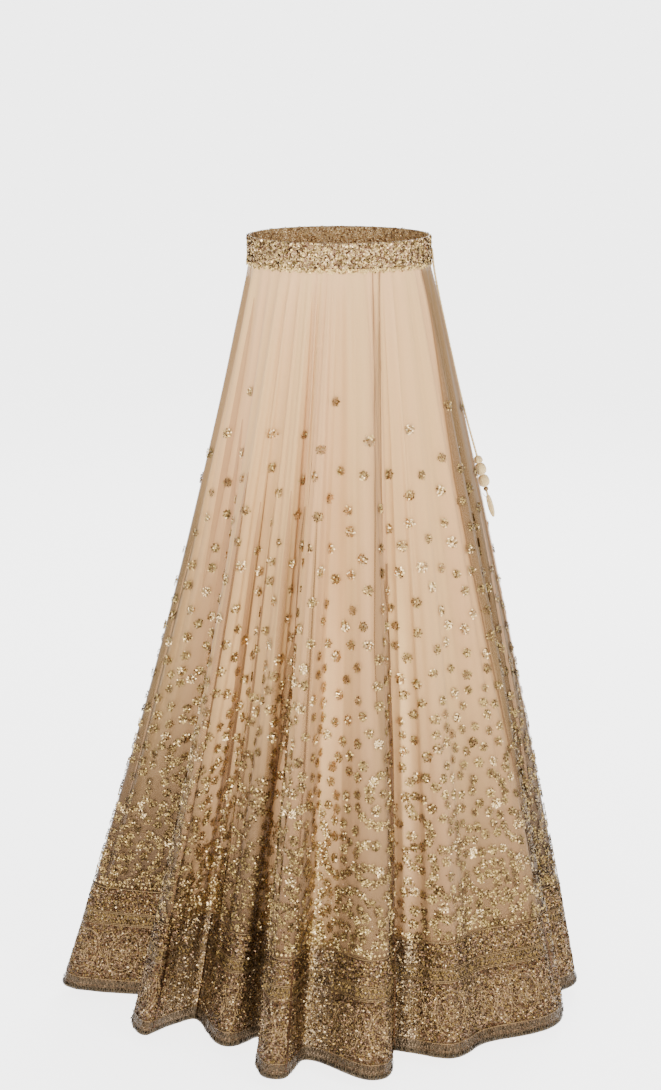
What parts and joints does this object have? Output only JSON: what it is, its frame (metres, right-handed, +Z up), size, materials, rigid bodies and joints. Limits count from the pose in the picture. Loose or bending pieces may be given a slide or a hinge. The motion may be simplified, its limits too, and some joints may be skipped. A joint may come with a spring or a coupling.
{
  "type": "lehenga skirt",
  "caption": "Flared floor-length lehenga skirt: sequinned net gathered over a lining, embroidered hem border, sequinned waistband and a drawstring with tassels.",
  "frame": {"origin": "middle of the waistband's oval, half way up the band, where the wearer's waist holds it", "axes": "+Z up the wearer's body, -Y towards the front, +X towards the wearer's left"},
  "size_m": [0.7289, 0.6965, 1.0703],
  "materials": {
    "net": "fine beige net, see-through, with small gold sequin flowers",
    "lining": "smooth cream-beige satin",
    "border": "dense antique-gold sequins and metallic thread on net",
    "waistband": "gold sequins on a folded cloth band",
    "cord": "ivory cord with cloth flowers and a small gold bead"
  },
  "bodies": {
    "root": {"net_panel_1": "net", "net_panel_2": "net", "net_panel_3": "net", "net_panel_4": "net", "net_panel_5": "net", "net_panel_6": "net", "net_panel_7": "net", "net_panel_8": "net", "lining_panel_1": "lining", "lining_panel_2": "lining", "lining_panel_3": "lining", "lining_panel_4": "lining", "lining_panel_5": "lining", "lining_panel_6": "lining", "lining_panel_7": "lining", "lining_panel_8": "lining", "border_strip_1": "border", "border_strip_2": "border", "border_strip_3": "border", "border_strip_4": "border", "waistband": "waistband", "drawstring_front_end": "cord", "drawstring_back_end": "cord"}
  },
  "joints": []
}
